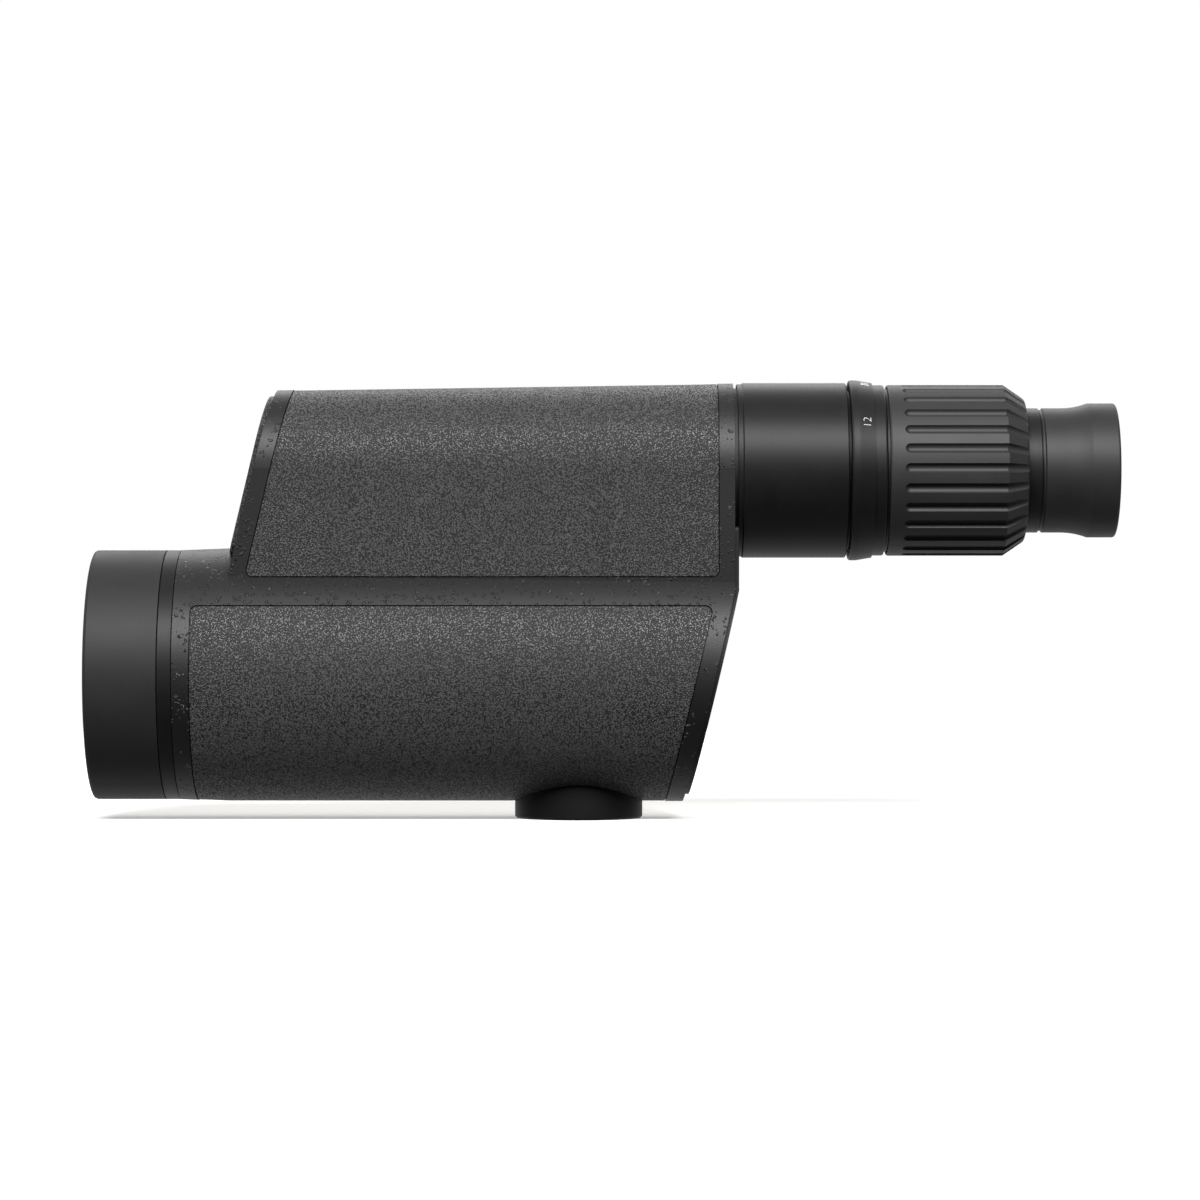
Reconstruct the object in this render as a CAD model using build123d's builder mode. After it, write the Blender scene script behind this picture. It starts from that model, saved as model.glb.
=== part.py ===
from build123d import *
from math import atan2, cos, degrees, pi, radians, sin, sqrt, tan
import os

# Spotting scope with a folded light path, in millimetres.
# The origin is the centre of the tripod foot's bottom face. -X points at the target,
# +X at the eye, +Z is up. The eyepiece tube lies above and parallel to the barrel.

# Driving dimensions
barrel_z = 44.2  # height of the objective's axis
tube_z = 107.4  # height of the eyepiece's axis
barrel_r = 39.1
barrel_front_r = 38.5  # sunshade, trim ring and the housing's front end
shade_front_x = -149.4
trim_front_x = -127.0
housing_front_x = -122.5
barrel_full_x = -108.0  # the housing reaches its full radius here
rear_x = 47.6  # upright rear face of the upper house
bend_z = 70.5  # below this height the rear face slants forward
front_top_x = -93.0  # the slanted front face, at front_top_z
front_top_z = 132.1
slant = 13.35  # degrees, both end faces and both mirrors
house_front_w = 24.8  # half width of the upper house at front_top_x
house_rear_w = 26.9  # half width at rear_x
housing_wall = 3.2
front_wall = 4.0
end_wall = 5.0
foot_r = 19.7
foot_chamfer = 0.6
rear_mirror_x = 34.3  # where the objective's axis meets the rear mirror
rear_mirror_r = 20.5
front_mirror_r = 11.5
power_low = -58.6  # degrees, brings 12 to the index
power_high = 39.4  # degrees, brings 40 to the index
front_cam_rate = 3.5  # millimetres of erector travel for each radian of the power ring
rear_cam_rate = -4.0
focus_turn_limit = 150.0  # degrees each way
focus_rate = 1.528  # millimetres of focus travel for each radian of the focus ring
flute_count = 27

# Fits and skins
running = 0.06  # radial clearance of a turning or sliding fit
pin_r = 1.0
pin_slot_r = 1.09
groove = 0.35  # line of bare housing left round each armour panel
armour_sink = 0.15  # armour surface below the housing's rim
recess_depth = 1.35
panel_corner = 1.8
bezel = 1.3  # flat rim round each lens
cover_t = 2.5
gasket_t = 0.5
rear_plate_t = 1.3
front_pad_t = 2.0

tan_slant = tan(radians(slant))
cos_slant = cos(radians(slant))
sin_slant = sin(radians(slant))
front_mirror_x = rear_mirror_x - (tube_z - barrel_z) / tan(radians(2 * slant))
crease_z = barrel_z + sqrt(barrel_r**2 - house_front_w**2)

barrel_plane = Plane(origin=(0, 0, barrel_z), x_dir=(1, 0, 0), z_dir=(0, -1, 0))
tube_plane = Plane(origin=(0, 0, tube_z), x_dir=(1, 0, 0), z_dir=(0, -1, 0))
barrel_axis = Axis((0, 0, barrel_z), (1, 0, 0))
tube_axis = Axis((0, 0, tube_z), (1, 0, 0))
barrel = (barrel_plane, barrel_axis)
tube = (tube_plane, tube_axis)

# Outer faces of the slanted ends. Their own y runs up the slope.
rear_face = Plane(
    origin=(rear_x, 0, bend_z), x_dir=(0, 1, 0), z_dir=(cos_slant, 0, -sin_slant)
)
front_face = Plane(
    origin=(front_top_x, 0, front_top_z), x_dir=(0, -1, 0), z_dir=(-cos_slant, 0, sin_slant)
)
# Mirror faces, centred on the light path. Glass and cells lie on their outward side.
rear_mirror_face = Plane(
    origin=(rear_mirror_x, 0, barrel_z), x_dir=(0, 1, 0), z_dir=(cos_slant, 0, -sin_slant)
)
front_mirror_face = Plane(
    origin=(front_mirror_x, 0, tube_z), x_dir=(0, -1, 0), z_dir=(-cos_slant, 0, sin_slant)
)
rear_reach = (rear_x - rear_mirror_x) * cos_slant - (bend_z - barrel_z) * sin_slant
front_reach = (front_mirror_x - front_top_x) * cos_slant + (front_top_z - tube_z) * sin_slant

os.makedirs("parts", exist_ok=True)


def turned(line, *points, mode=Mode.ADD):
    # Solid of revolution about the barrel or the tube axis, from (x, radius) points.
    plane, axis = line
    with BuildSketch(plane) as profile:
        with BuildLine():
            Polyline(*points, close=True)
        make_face()
    revolve(profile.sketch, axis=axis, mode=mode)


def sleeve(line, x0, x1, inner, outer, mode=Mode.ADD):
    # Plain ring from x0 to x1. An inner radius of 0 gives a disc.
    turned(line, (x0, inner), (x1, inner), (x1, outer), (x0, outer), mode=mode)


def lens(line, x0, x1, rim, front, rear):
    # Glass with its rim from x0 to x1. Front and rear bulge outwards when positive, inside
    # a narrow flat bezel that its seat and retainer bear on.
    clear = rim - bezel - 0.2
    plane, axis = line
    with BuildSketch(plane) as profile:
        with BuildLine():
            Line((x0 - front, 0), (x1 + rear, 0))
            for x, bulge in ((x1, rear), (x0, -front)):
                if bulge:
                    TangentArc((x + bulge, 0), (x, clear), tangent=(0, 1))
                else:
                    Line((x, 0), (x, clear))
                Line((x, clear), (x, rim))
            Line((x1, rim), (x0, rim))
        make_face()
    revolve(profile.sketch, axis=axis)


def o_ring(line, x, radius, thickness):
    plane, axis = line
    with BuildSketch(plane) as profile:
        with Locations((x, radius)):
            Circle(thickness)
    revolve(profile.sketch, axis=axis)


def radial_plane(x, angle):
    # Plane through the tube axis at x whose normal points out at angle, from +Y to +Z.
    out = (0, cos(radians(angle)), sin(radians(angle)))
    return Plane(origin=(x, 0, tube_z), x_dir=(1, 0, 0), z_dir=out)


def radial_pin(x, angle, r0, r1, radius):
    with BuildSketch(radial_plane(x, angle).offset(r0)) as profile:
        Circle(radius)
    extrude(profile.sketch, amount=r1 - r0)


def straight_slot(x, angle, low, high, r0, r1):
    # Slot along X that lets a follower pin at x move from low to high.
    with BuildSketch(radial_plane(x + (low + high) / 2, angle).offset(r0)) as profile:
        SlotOverall(high - low + 2 * pin_slot_r + 0.6, 2 * pin_slot_r)
    extrude(profile.sketch, amount=r1 - r0, mode=Mode.SUBTRACT)


def cam_groove(x, angle, rate, low, high, r0, r1):
    # Helical groove that moves the pin at x and angle by rate for each radian of turn.
    radius = (r0 + r1) / 2
    spare = (pin_r + 0.35) / radius
    first = radians(low) - spare
    last = radians(high) + spare
    start = first if rate > 0 else last
    start_angle = radians(angle) - start
    frame = Plane(
        origin=(x + rate * start, 0, tube_z),
        x_dir=(0, cos(start_angle), sin(start_angle)),
        z_dir=(1, 0, 0),
    )
    with BuildPart() as cutter:
        with BuildLine() as path:
            Helix(2 * pi * abs(rate), abs(rate) * (last - first), radius, lefthand=rate > 0)
        with BuildSketch(Plane(origin=path.line @ 0, x_dir=(1, 0, 0), z_dir=path.line % 0)):
            Rectangle(r1 - r0, 2 * pin_slot_r)
        sweep(is_frenet=True)
    return frame.location * cutter.part


def housing_form(skin=0.0, front=0.0, rear=0.0):
    # The housing's outer form, drawn in by skin all round and by front and rear at the
    # end faces.
    house_slope = (house_rear_w - house_front_w) / (rear_x - front_top_x)
    with BuildPart() as form:
        for x in (housing_front_x, rear_x + 5):
            half = house_front_w + (x - front_top_x) * house_slope - skin
            with BuildSketch(Plane.YZ.offset(x)):
                with BuildLine():
                    Polyline((half, tube_z), (half, barrel_z), (-half, barrel_z), (-half, tube_z))
                    ThreePointArc((-half, tube_z), (0, tube_z + half), (half, tube_z))
                make_face()
        loft(ruled=True)
        split(bisect_by=front_face.offset(-front), keep=Keep.BOTTOM)
        turned(
            barrel,
            (housing_front_x, 0),
            (housing_front_x, barrel_front_r + 0.05 - skin),
            (barrel_full_x, barrel_r - skin),
            (rear_x + 5, barrel_r - skin),
            (rear_x + 5, 0),
        )
        split(bisect_by=Plane.YZ.offset(rear_x - rear), keep=Keep.BOTTOM)
        split(bisect_by=rear_face.offset(-rear), keep=Keep.BOTTOM)
    return form.part


def side_prism(points, corner):
    # Prism right across the housing with a rounded outline that is drawn from the side.
    with BuildPart() as prism:
        with BuildSketch(Plane.XZ) as outline:
            with BuildLine():
                Polyline(*points, close=True)
            make_face()
            fillet(outline.vertices(), radius=corner)
        extrude(amount=2 * barrel_r, both=True)
    return prism.part


def rear_slant_x(z):
    return rear_x - (bend_z - z) * tan_slant


def front_slant_x(z):
    return front_top_x - (front_top_z - z) * tan_slant


# Armour outlines, as seen from the side
lower_top_z = 65.4
lower_in = 5.65  # from the slanted rear face, along X
upper_in = 5.35  # from the slanted front face, along X
upper_foot_z = crease_z + 0.1
above = tube_z + 2 * house_rear_w
below = -10.0


def lower_prism(grow):
    # Cuts out the panel that wraps under the barrel. grow widens it all round.
    left = -117.0 - grow
    top = lower_top_z + grow
    inset = lower_in - grow / cos_slant
    points = (
        (left, below),
        (left, top),
        (rear_slant_x(top) - inset, top),
        (rear_slant_x(below) - inset, below),
    )
    return side_prism(points, panel_corner + grow)


def upper_prism(grow):
    # Cuts out the panel that wraps over the upper house.
    foot = upper_foot_z - grow
    inset = upper_in - grow / cos_slant
    right = 42.6 + grow
    points = (
        (front_slant_x(foot) + inset, foot),
        (front_slant_x(above) + inset, above),
        (right, above),
        (right, foot),
    )
    return side_prism(points, panel_corner + grow)


# Screw places shared by the covers and what they screw into
def rear_screw_places():
    # Six screws round the lower part of the rear cover
    return PolarLocations(31.5, 6, start_angle=-200, angular_range=220, endpoint=True)


mirror_screw_r = 15.0
front_mirror_screw_r = 8.0
rear_opening_r = 28.0
rear_cover_r = 35.0
front_opening_r = 14.2
front_cover_w = 31.6
front_cover_h = 46.0
front_cover_z = 105.5
front_cover_y = (front_cover_z - front_top_z) / cos_slant
rear_centre_y = (barrel_z - bend_z) / cos_slant

# Main housing: one casting, a barrel with the upper house on it
pad_l, pad_w, pad_top = 36.0, 16.0, 14.0
insert_r, insert_top = 4.0, 9.4
foot_screw_x = 12.5
seat_x = -112.0  # how far the objective barrel reaches into the housing
seat_r = 36.4
tube_bore_r = 21.0
with BuildPart() as rim_skin:
    add(housing_form())
    add(housing_form(recess_depth), mode=Mode.SUBTRACT)

with BuildPart() as upper_recess:
    add(rim_skin.part)
    add(upper_prism(groove), mode=Mode.INTERSECT)

with BuildPart() as lower_recess:
    add(rim_skin.part)
    add(lower_prism(groove), mode=Mode.INTERSECT)

with BuildPart() as main_housing:
    add(housing_form())
    add(housing_form(housing_wall, front_wall, end_wall), mode=Mode.SUBTRACT)
    sleeve(barrel, housing_front_x - 1, seat_x, 0, seat_r, mode=Mode.SUBTRACT)
    # seat for the tripod foot's screws and thread
    with Locations((0, 0, (8 + pad_top) / 2)):
        Box(pad_l, pad_w, pad_top - 8)
    with Locations((0, 0, 0)):
        Cylinder(insert_r, insert_top, align=(Align.CENTER, Align.CENTER, Align.MIN), mode=Mode.SUBTRACT)
    with Locations((-foot_screw_x, 0, 0), (foot_screw_x, 0, 0)):
        Cylinder(1.5, 13, align=(Align.CENTER, Align.CENTER, Align.MIN), mode=Mode.SUBTRACT)
    # bore for the eyepiece tube
    sleeve(tube, rear_x - end_wall - 1, rear_x + 1, 0, tube_bore_r, mode=Mode.SUBTRACT)
    # rear opening and the rebate of its cover
    with BuildSketch(rear_face.offset(1)):
        with Locations((0, rear_centre_y)):
            Circle(rear_opening_r)
    extrude(amount=-(end_wall + 2), mode=Mode.SUBTRACT)
    with BuildSketch(rear_face):
        with Locations((0, rear_centre_y)):
            Circle(rear_cover_r)
        with Locations((0, 0)):
            Rectangle(80, 40, align=(Align.CENTER, Align.MIN), mode=Mode.SUBTRACT)
        with Locations((0, -1.6)):
            Rectangle(80, 1.6, align=(Align.CENTER, Align.MIN), mode=Mode.SUBTRACT)
    extrude(amount=-(cover_t + gasket_t), mode=Mode.SUBTRACT)
    with BuildSketch(rear_face):
        with Locations((0, rear_centre_y)):
            with rear_screw_places():
                Circle(1.1)
    extrude(amount=-(end_wall - 0.4), mode=Mode.SUBTRACT)
    # front opening and the rebate of its cover
    with BuildSketch(front_mirror_face.offset(-2)):
        Circle(front_opening_r)
    extrude(amount=20, mode=Mode.SUBTRACT)
    with BuildSketch(front_face):
        with Locations((0, front_cover_y)):
            RectangleRounded(front_cover_w, front_cover_h, 5)
    extrude(amount=-cover_t, mode=Mode.SUBTRACT)
    with BuildSketch(front_face):
        with Locations((0, front_cover_y)):
            with GridLocations(front_cover_w - 7, front_cover_h - 7, 2, 2):
                Circle(0.9)
    extrude(amount=-3.7, mode=Mode.SUBTRACT)
    # recesses for the armour
    add(upper_recess.part, mode=Mode.SUBTRACT)
    add(lower_recess.part, mode=Mode.SUBTRACT)
main_housing.part.label = "main_housing"
export_step(main_housing.part, "parts/main_housing.step")

# Rubber armour set into the housing
with BuildPart() as armour_skin:
    add(housing_form(armour_sink))
    add(housing_form(recess_depth), mode=Mode.SUBTRACT)

with BuildPart() as upper_armour:
    add(armour_skin.part)
    add(upper_prism(0), mode=Mode.INTERSECT)
upper_armour.part.label = "upper_armour"
export_step(upper_armour.part, "parts/upper_armour.step")

with BuildPart() as lower_armour:
    add(armour_skin.part)
    add(lower_prism(0), mode=Mode.INTERSECT)
    Cylinder(foot_r + groove, 2 * lower_top_z, mode=Mode.SUBTRACT)
lower_armour.part.label = "lower_armour"
export_step(lower_armour.part, "parts/lower_armour.step")

# Rear end of the barrel: gasket, cover, screws and a smooth plate over them
with BuildPart() as rear_cover:
    with BuildSketch(rear_face) as rear_cover_outline:
        with Locations((0, rear_centre_y)):
            Circle(rear_cover_r - 0.05)
        with Locations((0, -1.7)):
            Rectangle(80, 40, align=(Align.CENTER, Align.MIN), mode=Mode.SUBTRACT)
    extrude(amount=-cover_t)
    with BuildSketch(rear_face):
        with Locations((0, rear_centre_y)):
            with rear_screw_places():
                Circle(1.35)
    extrude(amount=-cover_t, mode=Mode.SUBTRACT)
    with BuildSketch(rear_face):
        with Locations((0, rear_centre_y)):
            with rear_screw_places():
                Circle(2.6)
    extrude(amount=-1.5, mode=Mode.SUBTRACT)
    with BuildSketch(rear_mirror_face.offset(rear_reach)):
        with PolarLocations(mirror_screw_r, 3, start_angle=90):
            Circle(1.6)
    extrude(amount=-cover_t, mode=Mode.SUBTRACT)
rear_cover.part.label = "rear_cover"
export_step(rear_cover.part, "parts/rear_cover.step")

with BuildPart() as rear_gasket:
    with BuildSketch(rear_face.offset(-cover_t)):
        add(rear_cover_outline.sketch.moved(rear_face.location.inverse()))
        with Locations((0, rear_centre_y)):
            Circle(rear_opening_r, mode=Mode.SUBTRACT)
            with rear_screw_places():
                Circle(1.35, mode=Mode.SUBTRACT)
    extrude(amount=-gasket_t)
rear_gasket.part.label = "rear_gasket"
export_step(rear_gasket.part, "parts/rear_gasket.step")

with BuildPart() as rear_cover_screws:
    with BuildSketch(rear_face):
        with Locations((0, rear_centre_y)):
            with rear_screw_places():
                Circle(2.5)
    extrude(amount=-1.5)
    with BuildSketch(rear_face):
        with Locations((0, rear_centre_y)):
            with rear_screw_places():
                Circle(1.1)
    extrude(amount=-(end_wall - 0.6))
    with BuildSketch(rear_face):
        with Locations((0, rear_centre_y)):
            with rear_screw_places():
                RegularPolygon(0.9, 6)
    extrude(amount=-1.1, mode=Mode.SUBTRACT)
rear_cover_screws.part.label = "rear_cover_screws"
export_step(rear_cover_screws.part, "parts/rear_cover_screws.step")

# The plate is a disc on the barrel's slanted end that runs on up the upright face, either
# side of the eyepiece tube.
plate_r = 36.9
plate_half_w = 24.9
plate_top_z = 89.6
plate_bore_r = 27.3
with BuildPart() as rear_plate:
    sleeve(barrel, 10, rear_x + rear_plate_t, 0, plate_r)
    with BuildSketch(Plane.YZ.offset(10)) as plate_ears:
        with Locations((0, barrel_z)):
            Rectangle(2 * plate_half_w, plate_top_z - barrel_z, align=(Align.CENTER, Align.MIN))
        fillet(plate_ears.vertices().group_by(Axis.Y)[-1], radius=1.2)
    extrude(amount=rear_x + rear_plate_t - 10)
    split(bisect_by=rear_face.offset(rear_plate_t), keep=Keep.BOTTOM)
    sleeve(tube, 5, rear_x + 10, 0, plate_bore_r, mode=Mode.SUBTRACT)
    outer_face = rear_plate.faces().filter_by(GeomType.PLANE).group_by(Axis.X)[-1]
    fillet(outer_face.edges().filter_by(lambda edge: edge.geom_type != GeomType.LINE), radius=0.5)
    # the housing's own bent end is cut away from behind it
    with BuildSketch(Plane.XZ):
        with BuildLine():
            Polyline(
                (0, below),
                (rear_slant_x(below), below),
                (rear_x, bend_z),
                (rear_x, above),
                (0, above),
                close=True,
            )
        make_face()
    extrude(amount=2 * barrel_r, both=True, mode=Mode.SUBTRACT)
rear_plate.part.label = "rear_plate"
export_step(rear_plate.part, "parts/rear_plate.step")

with BuildPart() as rear_mirror_cell:
    with BuildSketch(rear_mirror_face):
        Circle(rear_mirror_r + 2.5)
    extrude(amount=4.0)
    with BuildSketch(rear_mirror_face):
        Circle(rear_mirror_r)
    extrude(amount=2.2, mode=Mode.SUBTRACT)
    with BuildSketch(rear_mirror_face.offset(4.0)):
        with PolarLocations(mirror_screw_r, 3, start_angle=90):
            Circle(1.2)
    extrude(amount=-1.6, mode=Mode.SUBTRACT)
rear_mirror_cell.part.label = "rear_mirror_cell"
export_step(rear_mirror_cell.part, "parts/rear_mirror_cell.step")

with BuildPart() as rear_mirror:
    with BuildSketch(rear_mirror_face):
        Circle(rear_mirror_r - 0.05)
    extrude(amount=2.2)
rear_mirror.part.label = "rear_mirror"
export_step(rear_mirror.part, "parts/rear_mirror.step")

with BuildPart() as rear_mirror_screws:
    with BuildSketch(rear_mirror_face.offset(2.5)):
        with PolarLocations(mirror_screw_r, 3, start_angle=90):
            Circle(1.2)
    extrude(amount=rear_reach - 2.8)
rear_mirror_screws.part.label = "rear_mirror_screws"
export_step(rear_mirror_screws.part, "parts/rear_mirror_screws.step")

# Front end of the upper house: cover, screws and pad
with BuildPart() as front_cover:
    with BuildSketch(front_face):
        with Locations((0, front_cover_y)):
            RectangleRounded(front_cover_w - 0.1, front_cover_h - 0.1, 5)
    extrude(amount=-cover_t)
    with BuildSketch(front_face):
        with Locations((0, front_cover_y)):
            with GridLocations(front_cover_w - 7, front_cover_h - 7, 2, 2):
                Circle(1.1)
    extrude(amount=-cover_t, mode=Mode.SUBTRACT)
    with BuildSketch(front_face):
        with Locations((0, front_cover_y)):
            with GridLocations(front_cover_w - 7, front_cover_h - 7, 2, 2):
                Circle(1.9)
    extrude(amount=-1.2, mode=Mode.SUBTRACT)
    with BuildSketch(front_mirror_face.offset(front_reach)):
        with PolarLocations(front_mirror_screw_r, 3, start_angle=90):
            Circle(1.3)
    extrude(amount=-cover_t, mode=Mode.SUBTRACT)
front_cover.part.label = "front_cover"
export_step(front_cover.part, "parts/front_cover.step")

with BuildPart() as front_cover_screws:
    with BuildSketch(front_face):
        with Locations((0, front_cover_y)):
            with GridLocations(front_cover_w - 7, front_cover_h - 7, 2, 2):
                Circle(1.8)
    extrude(amount=-1.2)
    with BuildSketch(front_face):
        with Locations((0, front_cover_y)):
            with GridLocations(front_cover_w - 7, front_cover_h - 7, 2, 2):
                Circle(0.9)
    extrude(amount=-3.5)
    with BuildSketch(front_face):
        with Locations((0, front_cover_y)):
            with GridLocations(front_cover_w - 7, front_cover_h - 7, 2, 2):
                RegularPolygon(0.7, 6)
    extrude(amount=-0.9, mode=Mode.SUBTRACT)
front_cover_screws.part.label = "front_cover_screws"
export_step(front_cover_screws.part, "parts/front_cover_screws.step")

front_pad_w = 33.0
front_pad_low_z = 80.5
front_pad_high_z = 130.0
front_pad_h = (front_pad_high_z - front_pad_low_z) / cos_slant
with BuildPart() as front_pad:
    with BuildSketch(front_face) as front_pad_outline:
        with Locations((0, (front_pad_low_z - front_top_z) / cos_slant + front_pad_h / 2)):
            Rectangle(front_pad_w, front_pad_h)
        fillet(front_pad_outline.vertices().group_by(Axis.Y)[-1], radius=15.0)
        fillet(front_pad_outline.vertices().group_by(Axis.Y)[0], radius=5.0)
    extrude(amount=front_pad_t)
    fillet(front_pad.faces().sort_by(Axis(front_face.origin, front_face.z_dir))[-1].edges(), radius=0.9)
    sleeve(barrel, -130, -90, 0, barrel_r + 0.3, mode=Mode.SUBTRACT)
front_pad.part.label = "front_pad"
export_step(front_pad.part, "parts/front_pad.step")

with BuildPart() as front_mirror_cell:
    with BuildSketch(front_mirror_face):
        Circle(front_mirror_r + 2.0)
    extrude(amount=4.0)
    with BuildSketch(front_mirror_face):
        Circle(front_mirror_r)
    extrude(amount=2.0, mode=Mode.SUBTRACT)
    with BuildSketch(front_mirror_face.offset(4.0)):
        with PolarLocations(front_mirror_screw_r, 3, start_angle=90):
            Circle(1.0)
    extrude(amount=-1.7, mode=Mode.SUBTRACT)
front_mirror_cell.part.label = "front_mirror_cell"
export_step(front_mirror_cell.part, "parts/front_mirror_cell.step")

with BuildPart() as front_mirror:
    with BuildSketch(front_mirror_face):
        Circle(front_mirror_r - 0.05)
    extrude(amount=2.0)
front_mirror.part.label = "front_mirror"
export_step(front_mirror.part, "parts/front_mirror.step")

with BuildPart() as front_mirror_screws:
    with BuildSketch(front_mirror_face.offset(2.4)):
        with PolarLocations(front_mirror_screw_r, 3, start_angle=90):
            Circle(1.0)
    extrude(amount=front_reach - 2.7)
front_mirror_screws.part.label = "front_mirror_screws"
export_step(front_mirror_screws.part, "parts/front_mirror_screws.step")

# Stray light is stopped by a ring in the barrel
with BuildPart() as barrel_baffle:
    sleeve(barrel, -98.0, -94.0, barrel_r - housing_wall - 1.0, barrel_r - housing_wall)
    sleeve(barrel, -95.2, -94.0, 28.5, barrel_r - housing_wall)
    with Locations((-96, 0, tube_z)):
        Box(20, 60, 2 * (tube_z - barrel_z - 27), mode=Mode.SUBTRACT)
barrel_baffle.part.label = "barrel_baffle"
export_step(barrel_baffle.part, "parts/barrel_baffle.step")

# Tripod foot, saddled onto the barrel
with BuildPart() as tripod_foot:
    Cylinder(foot_r, barrel_z - 20, align=(Align.CENTER, Align.CENTER, Align.MIN))
    chamfer(tripod_foot.edges().group_by(Axis.Z)[0], length=foot_chamfer)
    sleeve(barrel, -30, 30, 0, barrel_r - recess_depth, mode=Mode.SUBTRACT)
    Cylinder(insert_r, 30, mode=Mode.SUBTRACT)
    with Locations((-foot_screw_x, 0, 0), (foot_screw_x, 0, 0)):
        Cylinder(1.6, 60, mode=Mode.SUBTRACT)
        Cone(3.4, 1.6, 1.8, align=(Align.CENTER, Align.CENTER, Align.MIN), mode=Mode.SUBTRACT)
tripod_foot.part.label = "tripod_foot"
export_step(tripod_foot.part, "parts/tripod_foot.step")

with BuildPart() as foot_screws:
    with Locations((-foot_screw_x, 0, 0.2), (foot_screw_x, 0, 0.2)):
        Cone(3.0, 1.5, 1.5, align=(Align.CENTER, Align.CENTER, Align.MIN))
        Cylinder(1.5, 12.4, align=(Align.CENTER, Align.CENTER, Align.MIN))
    with BuildSketch(Plane.XY.offset(0.2)):
        with Locations((-foot_screw_x, 0), (foot_screw_x, 0)):
            RegularPolygon(1.15, 6)
    extrude(amount=1.2, mode=Mode.SUBTRACT)
foot_screws.part.label = "foot_screws"
export_step(foot_screws.part, "parts/foot_screws.step")

thread_r = 2.55
thread_depth = 8.0
with BuildPart() as thread_insert:
    Cylinder(insert_r, insert_top, align=(Align.CENTER, Align.CENTER, Align.MIN))
    Cylinder(thread_r, 2 * thread_depth, mode=Mode.SUBTRACT)
thread_insert.part.label = "thread_insert"
export_step(thread_insert.part, "parts/thread_insert.step")

# Objective end
barrel_front_x = -146.0
stop_ring_x = -144.6
glass_r = 31.0
with BuildPart() as objective_barrel:
    sleeve(barrel, stop_ring_x, seat_x, 34.0, seat_r)
    sleeve(barrel, barrel_front_x, stop_ring_x, 34.0, 36.0)
    sleeve(barrel, seat_x - 2, seat_x, 32.5, 34.0)
    sleeve(barrel, -130.6, -129.2, 35.6, seat_r, mode=Mode.SUBTRACT)
objective_barrel.part.label = "objective_barrel"
export_step(objective_barrel.part, "parts/objective_barrel.step")

with BuildPart() as shade_stop_ring:
    sleeve(barrel, barrel_front_x, stop_ring_x, 36.0, 37.2)
shade_stop_ring.part.label = "shade_stop_ring"
export_step(shade_stop_ring.part, "parts/shade_stop_ring.step")

with BuildPart() as shade_friction_ring:
    o_ring(barrel, -129.9, 36.03, 0.42)
shade_friction_ring.part.label = "shade_friction_ring"
export_step(shade_friction_ring.part, "parts/shade_friction_ring.step")

shade_back_x = trim_front_x - 0.2
with BuildPart() as sunshade:
    turned(
        barrel,
        (shade_front_x, 35.4),
        (shade_front_x, barrel_front_r - 1.0),
        (shade_front_x + 0.3, barrel_front_r - 0.3),
        (shade_front_x + 1.0, barrel_front_r),
        (shade_back_x, barrel_front_r),
        (shade_back_x, seat_r + running),
        (-130.9, seat_r + running),
        (-130.9, 37.3),
        (-146.4, 37.3),
        (-146.4, 35.4),
    )
sunshade.part.label = "sunshade"
export_step(sunshade.part, "parts/sunshade.step")

with BuildPart() as trim_ring:
    sleeve(barrel, trim_front_x, housing_front_x - 0.15, seat_r, barrel_front_r)
    chamfer(trim_ring.edges().filter_by(GeomType.CIRCLE).sort_by(SortBy.RADIUS)[-2:], length=0.2)
trim_ring.part.label = "trim_ring"
export_step(trim_ring.part, "parts/trim_ring.step")

with BuildPart() as objective_cell:
    sleeve(barrel, -141.0, -125.0, glass_r, 34.0)
    sleeve(barrel, -127.4, -125.0, 29.6, glass_r)
objective_cell.part.label = "objective_cell"
export_step(objective_cell.part, "parts/objective_cell.step")

with BuildPart() as objective_crown:
    lens(barrel, -138.0, -134.6, glass_r, 2.6, 1.9)
objective_crown.part.label = "objective_crown"
export_step(objective_crown.part, "parts/objective_crown.step")

with BuildPart() as objective_spacer:
    sleeve(barrel, -134.6, -134.2, 30.4, glass_r)
objective_spacer.part.label = "objective_spacer"
export_step(objective_spacer.part, "parts/objective_spacer.step")

with BuildPart() as objective_flint:
    lens(barrel, -134.2, -127.4, glass_r, -1.9, 0.4)
objective_flint.part.label = "objective_flint"
export_step(objective_flint.part, "parts/objective_flint.step")

with BuildPart() as objective_retainer:
    sleeve(barrel, -141.0, -138.0, 30.0, glass_r)
objective_retainer.part.label = "objective_retainer"
export_step(objective_retainer.part, "parts/objective_retainer.step")

# Eyepiece tube and the guide tube fixed in it
guide_r = 17.5
guide_bore = 15.0
tube_front_x = 48.7
tube_back_x = 82.4
tube_inner_r = 24.6
stop_pin_x = 78.1
with BuildPart() as eyepiece_tube:
    turned(
        tube,
        (39.0, guide_r),
        (39.0, tube_bore_r),
        (tube_front_x - 1.1, tube_bore_r),
        (tube_front_x - 1.1, 22.6),
        (tube_front_x, 22.6),
        (tube_front_x, 26.45),
        (tube_front_x + 0.2, 26.65),
        (50.2, 26.65),
        (50.55, 27.0),
        (tube_back_x - 0.3, 27.0),
        (tube_back_x, 26.7),
        (tube_back_x, tube_inner_r),
        (53.5, tube_inner_r),
        (53.5, guide_r),
    )
    with BuildSketch(radial_plane(stop_pin_x, -90).offset(20)):
        Circle(pin_r)
    extrude(amount=10, mode=Mode.SUBTRACT)
    with BuildSketch(radial_plane(80.2, 90).offset(26.8)):
        Circle(0.6)
    extrude(amount=2, mode=Mode.SUBTRACT)
eyepiece_tube.part.label = "eyepiece_tube"
export_step(eyepiece_tube.part, "parts/eyepiece_tube.step")

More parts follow.
